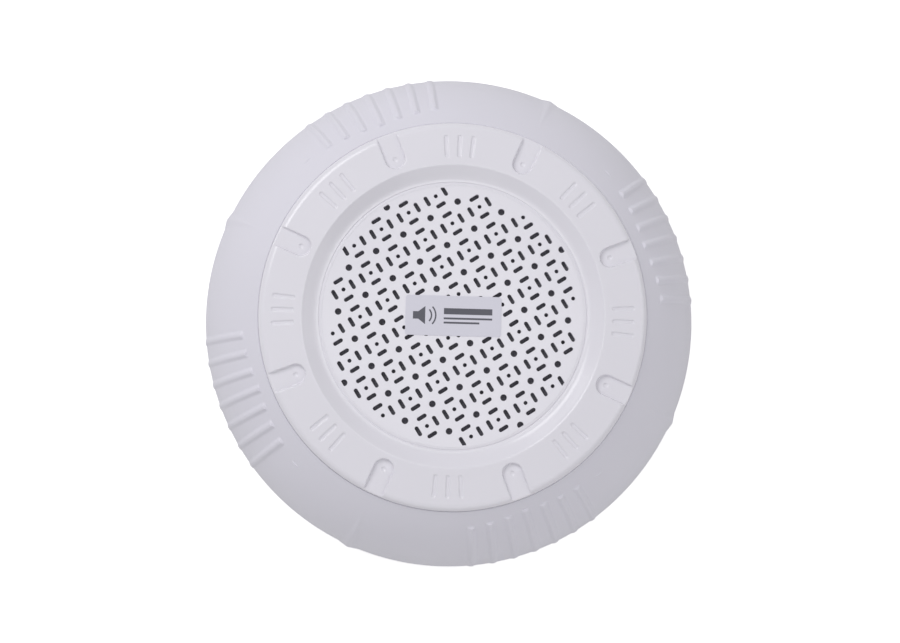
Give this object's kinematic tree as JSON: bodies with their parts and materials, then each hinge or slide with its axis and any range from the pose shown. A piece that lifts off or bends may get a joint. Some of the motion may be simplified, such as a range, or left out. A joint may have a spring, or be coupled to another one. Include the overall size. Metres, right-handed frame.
{
  "type": "voice alarm loudspeaker",
  "caption": "Round white fire-alarm voice loudspeaker: domed twist-on housing on a wall base, perforated front ring, cone driver, line transformer and terminals.",
  "frame": {"origin": "centre of the mounting face, at the wall", "axes": "+Z out of the wall through the grille, +Y up on the wall, +X to the right seen from the front"},
  "size_m": [0.2002, 0.2002, 0.062],
  "materials": {
    "housing_white": "satin moulded",
    "panel_white": "glossy moulded",
    "base_white": "matt moulded",
    "label_film": "printed film",
    "grille_cloth": "woven acoustic cloth",
    "gasket_foam": "closed-cell foam",
    "grommet_rubber": "matt",
    "basket_steel": "satin black",
    "surround_rubber": "matt",
    "cone_paper": "pressed paper pulp",
    "spider_cloth": "resin-dipped cloth",
    "former_foil": "foil",
    "copper_wire": "enamelled copper wire",
    "plated_steel": "zinc plated",
    "ferrite": "ground ferrite",
    "screw_steel": "zinc plated",
    "phenolic_board": "laminate",
    "tag_brass": "tinned",
    "core_steel": "varnished laminations",
    "bobbin_nylon": "natural nylon",
    "board_laminate": "solder-masked",
    "capacitor_sleeve": "heat-shrunk sleeve",
    "fuse_body": "glazed",
    "terminal_plastic": "moulded",
    "lead_red": "wire insulation",
    "lead_black": "wire insulation"
  },
  "bodies": {
    "base": {"mounting_base": "base_white", "cable_grommet": "grommet_rubber"},
    "housing": {"rear_cover": "base_white", "rear_cover_screws": "screw_steel", "outer_dome": "housing_white", "front_panel": "panel_white", "panel_screws": "screw_steel", "front_label": "label_film", "grille_cloth": "grille_cloth", "speaker_gasket": "gasket_foam", "driver_basket": "basket_steel", "driver_screws": "screw_steel", "cone_surround": "surround_rubber", "spider": "spider_cloth", "top_plate": "plated_steel", "magnet_ring": "ferrite", "pole_yoke": "plated_steel", "driver_terminal_board": "phenolic_board", "driver_terminals": "tag_brass", "transformer_core": "core_steel", "transformer_bobbin": "bobbin_nylon", "transformer_windings": "copper_wire", "transformer_strap": "plated_steel", "transformer_screws": "screw_steel", "filter_board": "board_laminate", "board_screws": "screw_steel", "blocking_capacitor": "capacitor_sleeve", "thermal_fuse": "fuse_body", "terminal_block": "terminal_plastic", "terminal_clamps": "tag_brass", "terminal_screws": "screw_steel", "terminal_block_screws": "screw_steel", "driver_lead_red": "lead_red", "driver_lead_black": "lead_black", "line_lead_red": "lead_red", "line_lead_black": "lead_black", "feed_lead_red": "lead_red", "feed_lead_black": "lead_black"},
    "cone": {"speaker_cone": "cone_paper", "dust_cap": "cone_paper", "voice_coil_former": "former_foil", "voice_coil_winding": "copper_wire"}
  },
  "joints": [
    {"name": "housing_twist", "type": "hinge", "parent": "base", "child": "housing", "pos_m": [0, 0, 0], "axis": [0, 0, 1], "range_deg": [0, 20]},
    {"name": "cone_travel", "type": "slide", "parent": "housing", "child": "cone", "axis": [0, 0, 1], "range_m": [-0.0015, 0.0015], "stiffness_N_per_m": 1500, "deforming": ["cone_surround", "spider"]}
  ]
}
